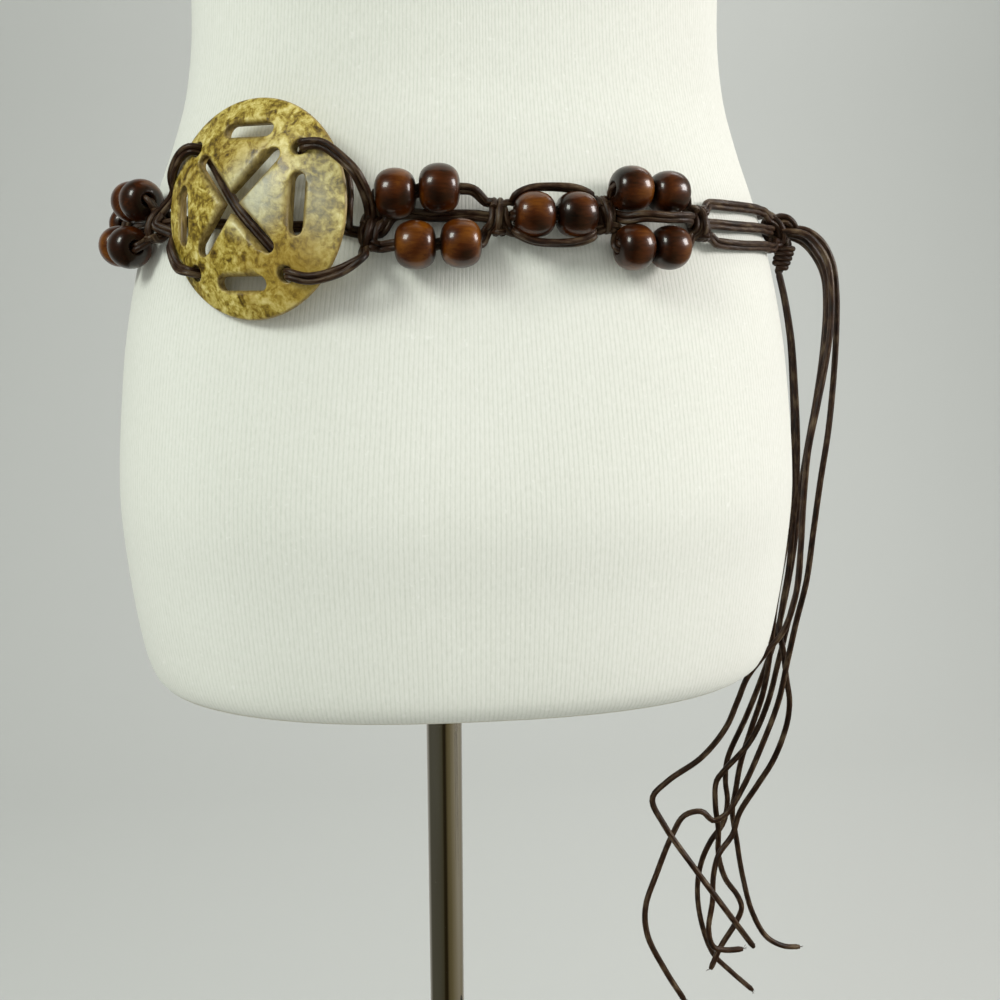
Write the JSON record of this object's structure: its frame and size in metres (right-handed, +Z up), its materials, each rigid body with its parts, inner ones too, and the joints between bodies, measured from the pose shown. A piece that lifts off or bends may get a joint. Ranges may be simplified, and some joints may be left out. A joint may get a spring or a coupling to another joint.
{
  "type": "macrame belt on a dress form",
  "caption": "Belt of knotted dark leather laces with wooden beads and a pierced coconut-shell disc, its free ends hanging at one hip, on a limbless dress form on a pole stand.",
  "frame": {"origin": "centre of the stand base's underside, on the floor", "axes": "+Z up, the dress form's front faces -Y, +X is the wearer's left"},
  "size_m": [0.3901, 0.38, 1.542],
  "materials": {
    "leather_lace": "dark brown leather lace, slightly glossy",
    "wooden_bead": "dark red-brown polished wood with darker grain",
    "coconut_shell": "polished coconut shell, mottled yellow, olive and cream",
    "jersey": "off-white ribbed jersey cover",
    "chrome": "polished",
    "dark_cap": "dark satin"
  },
  "bodies": {
    "root": {"laces_k6": "leather_lace", "laces_k5": "leather_lace", "laces_k4": "leather_lace", "laces_k3": "leather_lace", "laces_k2": "leather_lace", "laces_k1": "leather_lace", "laces_k0": "leather_lace", "laces_k7": "leather_lace", "laces_k8": "leather_lace", "laces_k9": "leather_lace", "laces_k10": "leather_lace", "laces_k11": "leather_lace", "laces_k12": "leather_lace", "end_wrap": "leather_lace", "end_a": "leather_lace", "end_b": "leather_lace", "end_c": "leather_lace", "end_d": "leather_lace", "end_e": "leather_lace", "end_f": "leather_lace", "bead_g2_top_1": "wooden_bead", "bead_g2_top_2": "wooden_bead", "bead_g2_low_1": "wooden_bead", "bead_g2_low_2": "wooden_bead", "bead_g3_core_1": "wooden_bead", "bead_g3_core_2": "wooden_bead", "bead_g4_top_1": "wooden_bead", "bead_g4_top_2": "wooden_bead", "bead_g4_low_1": "wooden_bead", "bead_g4_low_2": "wooden_bead", "bead_g1_top_1": "wooden_bead", "bead_g1_top_2": "wooden_bead", "bead_g1_low_1": "wooden_bead", "bead_g1_low_2": "wooden_bead", "bead_g5_core_1": "wooden_bead", "bead_g5_core_2": "wooden_bead", "bead_g6_top_1": "wooden_bead", "bead_g6_top_2": "wooden_bead", "bead_g6_low_1": "wooden_bead", "bead_g6_low_2": "wooden_bead", "coconut_disc": "coconut_shell", "dress_form": "jersey", "neck_cap": "dark_cap", "stand_base": "chrome", "stand_pole": "chrome", "stand_collar": "chrome", "pole_clamp": "dark_cap"}
  },
  "joints": []
}
